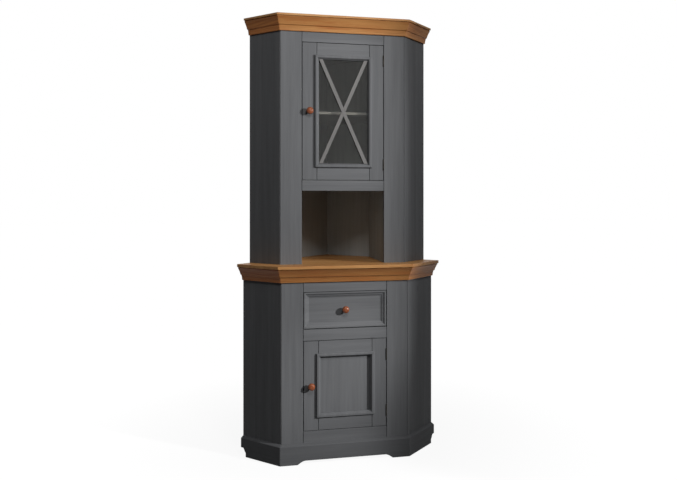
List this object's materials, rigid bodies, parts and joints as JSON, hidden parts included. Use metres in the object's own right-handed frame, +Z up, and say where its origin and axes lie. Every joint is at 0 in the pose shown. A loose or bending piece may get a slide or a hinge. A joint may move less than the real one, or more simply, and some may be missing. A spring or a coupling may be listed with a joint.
{
  "type": "corner buffet cabinet",
  "caption": "Corner buffet cabinet: a base unit with a drawer over a panelled door and a wooden worktop, and a hutch with an open niche, a glazed door with crossed bars and a wooden crown.",
  "frame": {"origin": "on the floor, below the middle of the worktop's bounding rectangle", "axes": "+Z up; the drawer and doors face -Y; the rear corner points to +Y; X is the width"},
  "size_m": [0.953, 0.649, 2],
  "materials": {
    "grey_paint": "satin grey paint brushed on pine",
    "inside_paint": "thin grey paint on pine boards",
    "oiled_pine": "honey stained and oiled pine, long grain",
    "raw_pine": "planed raw pine",
    "turned_wood": "turned and varnished wood",
    "pane": "clear float glass",
    "hinge_steel": "dull browned steel",
    "catch": "matt brown housing"
  },
  "bodies": {
    "cabinet": {"base_side_left": "grey_paint", "base_side_right": "grey_paint", "base_backs": "inside_paint", "base_bottom": "inside_paint", "base_stile_left": "grey_paint", "base_stile_right": "grey_paint", "base_top_rail": "grey_paint", "base_middle_rail": "grey_paint", "base_bottom_rail": "grey_paint", "base_linings": "inside_paint", "drawer_deck": "inside_paint", "drawer_runners": "raw_pine", "base_shelf": "inside_paint", "plinth_front": "grey_paint", "plinth_left": "grey_paint", "plinth_right": "grey_paint", "rear_foot": "raw_pine", "worktop": "oiled_pine", "worktop_moulding_front": "oiled_pine", "worktop_moulding_left": "oiled_pine", "worktop_moulding_right": "oiled_pine", "hutch_side_left": "grey_paint", "hutch_side_right": "grey_paint", "hutch_backs": "inside_paint", "hutch_stile_left": "grey_paint", "hutch_stile_right": "grey_paint", "hutch_top_rail": "grey_paint", "hutch_middle_rail": "grey_paint", "hutch_linings": "inside_paint", "hutch_ceiling": "inside_paint", "hutch_deck": "inside_paint", "hutch_shelf": "inside_paint", "crown_front": "oiled_pine", "crown_left": "oiled_pine", "crown_right": "oiled_pine", "crown_board": "oiled_pine", "shelf_battens": "inside_paint", "frame_hinge_leaves": "hinge_steel", "hinge_pins": "hinge_steel", "door_catches": "catch"},
    "glazed_door": {"glazed_door_stiles": "grey_paint", "glazed_door_rails": "grey_paint", "glazed_door_glass": "pane", "glazed_door_moulding": "grey_paint", "glazed_door_bars": "grey_paint", "glazed_door_beads": "grey_paint", "glazed_door_knob": "turned_wood", "glazed_door_hinge_leaves": "hinge_steel"},
    "lower_door": {"lower_door_stiles": "grey_paint", "lower_door_rails": "grey_paint", "lower_door_panel": "grey_paint", "lower_door_moulding": "grey_paint", "lower_door_knob": "turned_wood", "lower_door_hinge_leaves": "hinge_steel"},
    "drawer": {"drawer_front": "grey_paint", "drawer_moulding": "grey_paint", "drawer_sides": "raw_pine", "drawer_back": "raw_pine", "drawer_bottom": "raw_pine", "drawer_knob": "turned_wood"}
  },
  "joints": [
    {"name": "glazed_door_hinge", "type": "hinge", "parent": "cabinet", "child": "glazed_door", "pos_m": [0.1881, -0.22662, 1.5705], "axis": [0, 0, 1], "range_deg": [0, 110]},
    {"name": "lower_door_hinge", "type": "hinge", "parent": "cabinet", "child": "lower_door", "pos_m": [0.1881, -0.28601, 0.34175], "axis": [0, 0, 1], "range_deg": [0, 110]},
    {"name": "drawer_slide", "type": "slide", "parent": "cabinet", "child": "drawer", "axis": [0, -1, 0], "range_m": [0, 0.28]}
  ]
}
